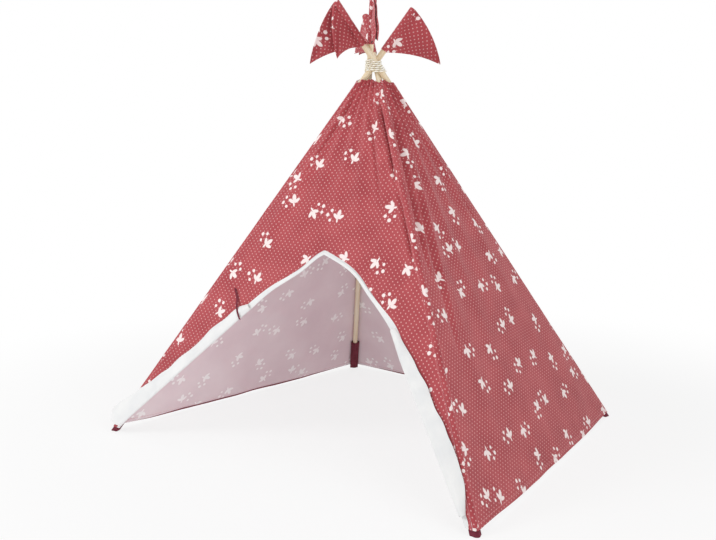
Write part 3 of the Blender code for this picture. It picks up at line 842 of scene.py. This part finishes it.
# The hem's visible width in millimetres, by share of the way down the door's edge
HEM_WIDTHS = {
    "left": ((0.0, 7), (0.06, 9), (0.16, 13), (0.26, 19), (0.36, 22), (0.5, 14), (1.0, 13)),
    "right": ((0.0, 7), (0.06, 9), (0.14, 11), (0.22, 14), (0.30, 20), (0.45, 14), (1.0, 13)),
}
FLAP_WIDTH = 0.072
FLAP_WIDTH_SHARES = {
    "left": (
        (0.0, 0.26), (0.08, 0.48), (0.20, 0.56), (0.36, 0.52), (0.55, 0.58), (0.72, 0.64), (0.87, 0.80),
        (1.0, 1.06),
    ),
    "right": ((0.0, 0.20), (0.16, 0.42), (0.40, 0.60), (0.70, 0.70), (0.88, 0.62), (1.0, 0.20)),
}
# How far each curtain's foot reaches on past its fold's end, and bulges out in its middle
FLAP_FOOT_REACH = {"left": (0.035, 0.020), "right": (0.008, 0.006)}
FLAP_GRID = (32, 100)
FLAP_MAP = (0.08, 0.62)
FLAP_MAP_PLACE = 34
FLAP_LINE_STEPS = 22
FLAP_TOP_SHARE = 0.70
FLAP_FOOT_SHARE = 0.05
FLAP_LIFT = 0.0036
FLAP_PUFF = 0.0085
FLAP_FOLD_SHARE = 0.25
FLAP_RIPPLE = 0.006
FLAP_BILLOW = 0.0050
FLAP_LIP = 0.0030
LINING = 0.0014


def hem_spot(side, across, up):
    """Round the bound edge: from its seam on the outside, over the door's edge, to the inside."""
    down = (1 - up) ** DOOR_ROW_EASE
    wide = smooth_through(HEM_WIDTHS[side], down) / 1000 if across < 0.5 else DOOR_HEM
    spot = off_door(side, down, wide * (1 - math.sin(math.pi * across)))
    full = HEM_EDGE_PUFF_SHARE + (1 - HEM_EDGE_PUFF_SHARE) * math.sin(math.pi * across)
    puff = HEM_PUFF * math.cos(math.pi * across) * full
    return spot_at_x("front", spot.x, spot.y, puff)


def plain_chart(size, place, across, up):
    """A place on an unprinted piece's map, given its size there and how far along it starts."""
    return (across * size[0] + place, up * size[1])


for side in SIDES:
    hem = lay_cloth(
        f"lining_hem_{side}", *HEM_GRID,
        partial(hem_spot, side), partial(plain_chart, HEM_MAP, HEM_MAP_PLACE + SIGN[side]), INSIDE,
    )
    thicken(hem, LINING, lining, lining)
    ride_side(hem, side)
    give_way(hem)
    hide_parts(f"door_hem_{side}")


def flap_line(side):
    """The curtain's straight fold just inside the door's edge: its ends and its outward way."""
    steps = [(FLAP_TOP_SHARE - FLAP_FOOT_SHARE) * n / FLAP_LINE_STEPS for n in range(FLAP_LINE_STEPS + 1)]
    edge = [door_edge(side, 1 - FLAP_TOP_SHARE + step) for step in steps]
    run = (edge[-1] - edge[0]).normalized()
    out = Vector((-run.y, run.x))
    out = out if out.y > 0 else -out
    inset = max((edge[0] - spot).dot(out) for spot in edge)
    return edge[0] - out * inset, edge[-1] - out * inset, out


def flap_spot(side, across, up):
    """The turned-back curtain: a soft fold along the door, then cloth that settles on the front."""
    top, foot, out = flap_line(side)
    width = FLAP_WIDTH * smooth_through(FLAP_WIDTH_SHARES[side], 1 - up)
    ripple = noise.noise(Vector((up * 9, SIGN[side] * 3, across * 1.2)))
    puff = FLAP_PUFF * (1 - 0.8 * smooth_step(0.80, 1, up))
    if across < FLAP_FOLD_SHARE:
        turn = math.pi * (across / FLAP_FOLD_SHARE - 0.5)
        reach = -0.5 * puff * math.cos(turn)
        lift = FLAP_LIFT + 0.5 * puff * (1 + math.sin(turn))
    else:
        share = (across - FLAP_FOLD_SHARE) / (1 - FLAP_FOLD_SHARE)
        reach = share * (width + FLAP_RIPPLE * ripple * share)
        billow = FLAP_BILLOW * math.sin(math.pi * share) * (1 + ripple)
        lip = smooth_step(0.5, 1, share) * smooth_step(0, 0.2, up) * smooth_step(0, 0.3, 1 - up)
        lift = FLAP_LIFT + puff * (1 - share) ** 0.8 + billow + FLAP_LIP * lip
    past, bulge = FLAP_FOOT_REACH[side]
    share = min(max(reach / width, 0), 1)
    past = (past + bulge * 4 * share * (1 - share)) * smooth_step(0.14, 0, up)
    spot = foot.lerp(top, up) + out * reach + (foot - top).normalized() * past
    return spot_at_x("front", spot.x, spot.y, lift)


for side in SIDES:
    flap = lay_cloth(
        f"curtain_{side}", *FLAP_GRID,
        partial(flap_spot, side), partial(plain_chart, FLAP_MAP, FLAP_MAP_PLACE + SIGN[side]), INSIDE,
    )
    thicken(flap, LINING, lining, lining)
    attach(flap, f"door_flap_{side}")
    give_way(flap)
    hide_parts(f"door_flap_{side}")


# Foot pockets
# A cup of doubled maroon cotton at each corner, which the pole stands in. It is a flat strip sewn
# into the cover along its two side edges, so it fits the pole round and spreads at the seams.

# Dyed maroon cotton: dark and matt, a little lighter where it is rubbed
maroon, tree, shader = new_material("maroon_cotton")
place = add_node(tree, "TexCoord").outputs["Object"]
rubbed = add_node(tree, "TexNoise", Vector=place, Scale=60, Detail=4).outputs["Fac"]
tree.links.new(colour_ramp(tree, rubbed, (0.35, "#611829"), (0.75, "#7A2A3C")), shader.inputs["Base Color"])
fuzz = add_node(tree, "TexNoise", Vector=place, Scale=900, Detail=2).outputs["Fac"]
bump = add_node(tree, "Bump", Strength=0.3, Distance=0.0004, Height=fuzz)
tree.links.new(bump.outputs["Normal"], shader.inputs["Normal"])
shader.inputs["Roughness"].default_value = 0.9

POCKET_HEIGHT = 0.140
POCKET_RADIUS = 0.0121
POCKET_WALL = 0.0016
POCKET_LONG = 0.190
POCKET_RIM = 0.004
POCKET_SEAM_REACH = 0.0054
POCKET_SEAM_TURN = math.radians(77)
POCKET_SEAM_SPREAD = 0.30
POCKET_CREASE_SHARE = 0.03
POCKET_RIM_SHARE = 0.05
POCKET_SOLE = 0.0008


def level_foot(piece, corner, level):
    """The points below the foot of a pole are slid along it to a level."""
    for vert in piece.data.vertices:
        if vert.co.z < level:
            vert.co += LEANS[corner] * ((level - vert.co.z) / LEANS[corner].z)


def weld(threshold):
    """The points of the active piece that lie together are made one."""
    bpy.ops.object.mode_set(mode="EDIT")
    bpy.ops.mesh.select_all(action="SELECT")
    bpy.ops.mesh.remove_doubles(threshold=threshold)
    bpy.ops.object.mode_set(mode="OBJECT")


def close_sole(piece):
    """The open lower ring of a cup is filled with a face."""
    weld(0.0002)
    bpy.ops.object.mode_set(mode="EDIT")
    bpy.ops.mesh.select_all(action="DESELECT")
    bpy.ops.mesh.select_mode(type="EDGE")
    bpy.ops.mesh.select_non_manifold()
    bpy.ops.object.mode_set(mode="OBJECT")
    for edge in piece.data.edges:
        edge.select = edge.select and piece.data.vertices[edge.vertices[0]].co.z < POCKET_HEIGHT / 2
    bpy.ops.object.mode_set(mode="EDIT")
    bpy.ops.mesh.edge_face_add()
    bpy.ops.mesh.select_mode(type="VERT")
    bpy.ops.object.mode_set(mode="OBJECT")


for corner in CORNERS:
    bpy.ops.object.select_all(action="DESELECT")
    bpy.ops.mesh.primitive_cylinder_add(
        vertices=60, radius=POCKET_RADIUS, depth=POCKET_LONG, end_fill_type="NOTHING"
    )
    pocket = bpy.context.object
    pocket.name = f"foot_pocket_{corner}"
    bpy.ops.object.mode_set(mode="EDIT")
    bpy.ops.mesh.select_all(action="SELECT")
    bpy.ops.mesh.subdivide(number_cuts=11)
    bpy.ops.object.mode_set(mode="OBJECT")
    inward = -FEET[corner].xy.normalized()
    for vert in pocket.data.vertices:
        ring = vert.co.xy.normalized()
        off_seam = (ring.angle(inward) - POCKET_SEAM_TURN) / POCKET_SEAM_SPREAD
        level = vert.co.z * 40 + CORNERS.index(corner) * 9
        crease = noise.noise(Vector((ring.x * 1.2, ring.y * 1.2, level)))
        rim = math.exp(-(((POCKET_LONG / 2 - vert.co.z) / POCKET_RIM) ** 2))
        radius = POCKET_RADIUS + POCKET_SEAM_REACH * math.exp(-off_seam * off_seam)
        vert.co.xy = ring * radius * (1 + POCKET_CREASE_SHARE * crease + POCKET_RIM_SHARE * rim)
    pocket.data.transform(turned_to(corner, POCKET_HEIGHT / LEANS[corner].z - POCKET_LONG / 2))
    level_foot(pocket, corner, POCKET_SOLE)
    close_sole(pocket)
    wall = pocket.modifiers.new("wall", "SOLIDIFY")
    wall.thickness = POCKET_WALL
    wall.offset = -1
    bpy.ops.object.modifier_apply(modifier="wall")
    bpy.ops.object.shade_smooth_by_angle(angle=math.radians(50))
    pocket.data.materials.clear()
    pocket.data.materials.append(maroon)
    ride_side(pocket, corner)
    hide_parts(f"pocket_{corner}")


# Ties
# A flat maroon cotton tape on each side holds the curtain back. The left one slants down the
# front and stands off it over the curtain, the right one is out of sight behind the front.

TIE_WIDTH = 0.008
TIE_LENGTH = 0.097
TIE_HANG = 0.040
TIE_BEND = 0.003
TIE_CLOTH = 0.0009
TIE_GRID = (6, 40)
TIE_SET_OUT = {"left": 0.025, "right": 0.042}
TIE_SLANT = {"left": 0.068, "right": 0.045}
TIE_REST = 0.0026
TIE_STAND = 0.0100
TIE_WAVE = 0.0015
# How far it stands off, as a share of the most, by share of the way up from its loose end
TIE_LIFT_SHARES = ((0.0, 1.0), (0.46, 0.9), (0.68, 0.3), (1.0, 0.02))


def tie_spot(side, across, up):
    top = flap_line(side)[0]
    face = 1 if side == "left" else -1
    out = TIE_SET_OUT[side] + TIE_SLANT[side] * up + TIE_BEND * math.sin(2 * math.pi * up)
    x = top.x + SIGN[side] * (out + TIE_WIDTH * (across - 0.5))
    lift = TIE_REST + TIE_STAND * smooth_through(TIE_LIFT_SHARES, up)
    lift += TIE_WAVE * math.sin(up * 9) * (1 - up)
    return spot_at_x("front", x, top.y - TIE_HANG + TIE_LENGTH * up, face * lift)


for side in SIDES:
    tie = lay_cloth(
        f"tape_{side}", *TIE_GRID,
        partial(tie_spot, side), partial(plain_chart, (TIE_WIDTH, TIE_LENGTH), 0), INSIDE,
    )
    thicken(tie, TIE_CLOTH, maroon, maroon)
    ride_side(tie, side)
    give_way(tie)
    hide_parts(f"door_tie_{side}")


# Lashing
# Undyed cotton rope, wound round the four poles where they cross and finished with a knot. Each
# turn follows the outline that its own level cuts the bundle of poles in.

ROPE_RADIUS = 0.0025
ROPE_TURNS = 6
ROPE_STEPS = 64
ROPE_PITCH = 0.0062
ROPE_START = 1.2580
ROPE_STANDOFF = 0.0012
ROPE_START_ANGLE = math.radians(-60)
ROPE_STRAND = 0.0055
ROPE_OUTLINE_STEPS = 72
KNOT_CORD_RADIUS = ROPE_RADIUS * 0.7
KNOT_STEPS = 120

# Twisted natural cotton rope: cream, three strands that wind round each other; painted shade
# darkens the cream in the grooves between the strands
rope, tree, shader = new_material("twisted_cotton_rope")
chart = add_node(tree, "UVMap").outputs["UV"]
twist = add_node(tree, "Mapping", Vector=chart, Rotation=(0, 0, math.radians(35)))
strands = add_node(
    tree, "TexWave", {"wave_profile": "SIN"},
    Vector=twist.outputs["Vector"], Scale=1 / (ROPE_STRAND * 2 * math.pi), Distortion=0.5,
).outputs["Fac"]
# Painted shade: the cream darkens where the strands' height is low, in the grooves between them
colours = colour_ramp(tree, strands, (0.05, "#E4DCC3"), (0.5, "#F9F4E3"), (1.0, "#FDFAF1"))
tree.links.new(colours, shader.inputs["Base Color"])
bump = add_node(tree, "Bump", Strength=0.6, Distance=0.001, Height=strands)
tree.links.new(bump.outputs["Normal"], shader.inputs["Normal"])
shader.inputs["Roughness"].default_value = 0.92


def rope_spot(turns):
    """Where the rope's middle lies after some turns: on the outline that a level cuts the poles in."""
    angle = ROPE_START_ANGLE + 2 * math.pi * turns
    height = ROPE_START + ROPE_PITCH * turns
    centre = sum((along(c, height / LEANS[c].z) for c in CORNERS), Vector()) / len(CORNERS)
    reach = POLE_RADIUS + ROPE_RADIUS + ROPE_STANDOFF
    spots = []
    for corner in CORNERS:
        axis = LEANS[corner]
        for n in range(ROPE_OUTLINE_STEPS):
            turn = 2 * math.pi * n / ROPE_OUTLINE_STEPS
            way = Vector((math.cos(turn), math.sin(turn), 0))
            off = way * (reach / math.sqrt(1 - way.dot(axis) ** 2))
            spots.append((along(corner, height / axis.z) + off - centre).to_2d())
    ring = [spots[n] for n in convex_hull_2d(spots)]
    way = Vector((math.cos(angle), math.sin(angle)))
    best = 0
    for here, ahead in zip(ring, ring[1:] + ring[:1], strict=True):
        side, side_ahead = way.cross(here), way.cross(ahead)
        if side * side_ahead <= 0 and side != side_ahead:
            best = max(best, here.lerp(ahead, side / (side - side_ahead)).dot(way))
    return Vector((centre.x + way.x * best, centre.y + way.y * best, height))


def sweep(name, spots, radius, sides, material):
    """A round cord through points, with its map along and around it in metres."""
    line = [Vector(s) for s in spots]

    def ring(row, turn):
        run = (line[min(row + 1, len(line) - 1)] - line[max(row - 1, 0)]).normalized()
        across = run.cross(Vector((0, 0, 1))).normalized()
        return line[row] + (across * math.cos(turn) + across.cross(run) * math.sin(turn)) * radius

    lengths = np.concatenate([[0], np.cumsum([(b - a).length for a, b in zip(line, line[1:])])])
    last = len(line) - 1
    piece = lay_cloth(
        name, sides, last,
        lambda across, up: ring(round(up * last), 2 * math.pi * across),
        lambda across, up: (across * 2 * math.pi * radius, lengths[round(up * last)]),
        CROSSING,
    )
    weld(radius / 50)
    bpy.ops.object.mode_set(mode="EDIT")
    bpy.ops.mesh.select_all(action="DESELECT")
    bpy.ops.mesh.select_non_manifold()
    bpy.ops.mesh.fill_holes(sides=0)
    bpy.ops.mesh.select_all(action="SELECT")
    bpy.ops.mesh.normals_make_consistent(inside=False)
    bpy.ops.object.mode_set(mode="OBJECT")
    bpy.ops.object.shade_smooth_by_angle(angle=math.radians(60))
    piece.data.materials.append(material)
    return piece


winding = [rope_spot(n / ROPE_STEPS) for n in range(ROPE_TURNS * ROPE_STEPS + 1)]
lashing = sweep("lashing", winding, ROPE_RADIUS, 16, rope)
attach(lashing, "left_side")
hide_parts("lashing_rope")

# The knot is a trefoil of the same rope, drawn so tight that its cord is thinner
knot_low, knot_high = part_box("lashing_knot")
knot_middle = (knot_low + knot_high) / 2
knot_size = (knot_high - knot_low).x / 2
knot_line = []
for n in range(KNOT_STEPS + 1):
    turn = 2 * math.pi * n / KNOT_STEPS
    bend = 2 + math.cos(3 * turn)
    knot_line.append(
        knot_middle
        + Vector((bend * math.cos(2 * turn), bend * math.sin(2 * turn), math.sin(3 * turn)))
        * (knot_size - KNOT_CORD_RADIUS) / 3
    )
knot = sweep("knot", knot_line, KNOT_CORD_RADIUS, 12, rope)
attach(knot, "left_side")
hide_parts("lashing_knot")


# Flags
# A pennant of the same print on each pole top: one piece of canvas folded round the pole, sewn
# beside it and closed over its end.

FLAG_SLEEVE = 0.165
FLAG_RADIUS = 0.0113
FLAG_CLOTH = 0.0009
FLAG_GRID = (88, 56)
FLAG_MAP_PLACE = 40
FLAG_MAP_STEP = 0.37
FLAG_SEAM_SHARE = 0.45
CROWN_SHARE = 0.06
CROWN_RISE = 0.003
# Between the pole and its free corner a face stands off the other, hollows low down and
# bellies high up, by these at most
FLAG_GAP = 0.0007
FLAG_LOOSE_GAP = 0.0012
FLAG_HOLLOW = 0.012
FLAG_BELLY = 0.013
# Where each face's free corner hangs: out from the pole's tip, down from it, and to its side
DRAPES = {
    "front_left": ((0.094, 0.179, -0.005), (0.091, 0.180, 0.006)),
    "front_right": ((0.118, 0.122, -0.006), (0.114, 0.126, 0.008)),
    "rear_right": ((0.004, 0.183, -0.032), (0.088, 0.199, 0.004)),
    "rear_left": ((0.120, 0.145, -0.004), (0.116, 0.150, 0.005)),
}


def flag_parts(across, up):
    """Which face a place is on (-1 or 1), how far out it is, and how far up the pole."""
    face = 1 if across > 0.5 else -1
    share = 1 - abs(2 * across - 1)
    out = 1 - share / (1 - FLAG_SEAM_SHARE)
    crown = max(up - 1 + CROWN_SHARE, 0) / CROWN_SHARE
    rise = CROWN_RISE * math.sin(crown * math.pi / 2)
    stretch = FLAG_SLEEVE * (1 - min(up / (1 - CROWN_SHARE), 1))
    return face, out, crown, POLE_LENGTH - stretch + rise


def flag_ways(corner):
    """Out from the pole, square to it towards the free corner, and to the side."""
    axis = LEANS[corner]
    outward = Vector((axis.x, axis.y, 0)).normalized()
    return outward, (outward - axis * outward.dot(axis)).normalized(), outward.cross(Vector((0, 0, 1)))


def free_corner(corner, face):
    outward, _, side = flag_ways(corner)
    reach, drop, aside = DRAPES[corner][face > 0]
    return along(corner, POLE_LENGTH) + outward * reach - Vector((0, 0, drop)) + side * aside


def flag_spot(corner, across, up):
    """From one face's free corner, round the pole and back out along the other face."""
    outward, seam_way, side = flag_ways(corner)
    face, out, crown, distance = flag_parts(across, up)
    radius = FLAG_RADIUS * math.sqrt(max(1 - crown * crown, 0))
    if out < 0:
        turn = math.pi * (1 + out / FLAG_SEAM_SHARE * (1 - FLAG_SEAM_SHARE)) * face
        return along(corner, distance) + (side * math.sin(turn) - seam_way * math.cos(turn)) * radius
    start = along(corner, distance) + seam_way * radius
    number = CORNERS.index(corner)
    loose = 4 * out * (1 - out)
    flutter = math.sin(2.6 * math.pi * up + number) / 170
    flutter += noise.noise(Vector((out * 3, up * 3, number * 4 + face))) / 220
    gap = FLAG_GAP + FLAG_LOOSE_GAP * loose
    hollow = FLAG_HOLLOW * loose * (1 - up) ** 2
    belly = FLAG_BELLY * loose * up**2
    spot = start.lerp(free_corner(corner, face), out) + LEANS[corner] * hollow
    spot += (outward * 0.9 + Vector((0, 0, 0.45))) * belly
    return spot + side * (face * gap + flutter * loose)


def flag_chart(corner, across, up):
    """The flag's flat cut in metres: out from the pole's line, and along it."""
    face, out, _, distance = flag_parts(across, up)
    place = FLAG_MAP_PLACE + CORNERS.index(corner) * FLAG_MAP_STEP
    half_turn = math.pi * FLAG_RADIUS
    if out < 0:
        wound = half_turn * (1 + out / FLAG_SEAM_SHARE * (1 - FLAG_SEAM_SHARE))
        return (place + face * wound, distance)
    tip = free_corner(corner, face) - along(corner, POLE_LENGTH)
    along_pole = tip.dot(LEANS[corner])
    away = (tip - LEANS[corner] * along_pole).length
    return (place + face * (half_turn + out * away), distance + (POLE_LENGTH + along_pole - distance) * out)


for corner in CORNERS:
    flag = lay_cloth(
        f"pennant_{corner}", *FLAG_GRID,
        partial(flag_spot, corner), partial(flag_chart, corner),
        along(corner, POLE_LENGTH - FLAG_SLEEVE / 2),
    )
    weld(0.0003)
    thicken(flag, FLAG_CLOTH, printed, printed)
    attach(flag, f"flag_{corner}")
    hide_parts(f"flag_{corner}")


# Studio
# A pale floor under soft light from the front left, with the tent's own shadow on it. Away from
# the tent the floor fades into a white backdrop.

FLOOR_SIZE = 60
FLOOR_NEAR = 1.0
FLOOR_FAR = 2.4
FLOOR_PAINTED_BOUNCE = 0.32
LIGHTS_AIM = Vector((0, 0, 0.5))

bpy.ops.object.select_all(action="DESELECT")
bpy.ops.mesh.primitive_plane_add(size=FLOOR_SIZE)
floor = bpy.context.object
floor.name = "studio_floor"

# Matt white paper floor, seen white and fading into the backdrop. To every ray but the camera's
# it also glows softly: painted light that stands in for the light the paper throws back
paper, tree, shader = new_material("white_paper_floor")
shader.inputs["Base Color"].default_value = linear("#F0F0F0")
shader.inputs["Roughness"].default_value = 1
shader.inputs["Specular IOR Level"].default_value = 0
place = add_node(tree, "TexCoord").outputs["Object"]
reach = add_node(tree, "VectorMath", {"operation": "LENGTH"}, _0=place).outputs["Value"]
fade = add_node(
    tree, "MapRange", {"interpolation_type": "SMOOTHSTEP"},
    Value=reach, From_Min=FLOOR_NEAR, From_Max=FLOOR_FAR, To_Min=0.80, To_Max=1.0,
).outputs["Result"]
rays = add_node(tree, "LightPath")
share = add_node(tree, "Math", {"operation": "MULTIPLY"}, _0=rays.outputs["Is Camera Ray"], _1=fade)
glow = add_node(tree, "Emission", Color=(1, 1, 1, 1), Strength=1)
seen = add_node(
    tree, "MixShader", _0=share.outputs["Value"], _1=shader.outputs["BSDF"], _2=glow.outputs["Emission"]
)
tree.links.new(seen.outputs["Shader"], tree.nodes["Material Output"].inputs["Surface"])
shader.inputs["Emission Color"].default_value = linear("#FFFFFF")
# Painted light: the floor glows for every ray but the camera's, in place of light bounced off the paper
unseen = add_node(tree, "MapRange", Value=rays.outputs["Is Camera Ray"], To_Min=FLOOR_PAINTED_BOUNCE, To_Max=0.0)
tree.links.new(unseen.outputs["Result"], shader.inputs["Emission Strength"])
floor.data.materials.append(paper)

world = bpy.data.worlds.new("studio_light")
bpy.context.scene.world = world
world.use_nodes = True
tree = world.node_tree
backdrop = tree.nodes["Background"]
backdrop.inputs["Color"].default_value = linear("#FFFFFF")
rays = add_node(tree, "LightPath")
seen = add_node(
    tree, "Math", {"operation": "MAXIMUM"},
    _0=rays.outputs["Is Camera Ray"], _1=rays.outputs["Is Glossy Ray"],
)
level = add_node(tree, "MapRange", Value=seen.outputs["Value"], To_Min=0.42, To_Max=1.0)
tree.links.new(level.outputs["Result"], backdrop.inputs["Strength"])

for name, place, size, power in (
    ("key_light", (-2.6, -3.6, 3.2), 2.0, 102),
    ("fill_light", (3.6, -1.6, 2.4), 2.5, 40),
    ("top_light", (0.2, 0.6, 4.2), 3.0, 30),
):
    bpy.ops.object.light_add(type="AREA", location=place)
    lamp = bpy.context.object
    lamp.name = name
    lamp.data.size = size
    lamp.data.energy = power
    lamp.rotation_euler = (LIGHTS_AIM - Vector(place)).to_track_quat("-Z", "Y").to_euler()

bpy.context.scene.view_settings.view_transform = "Standard"
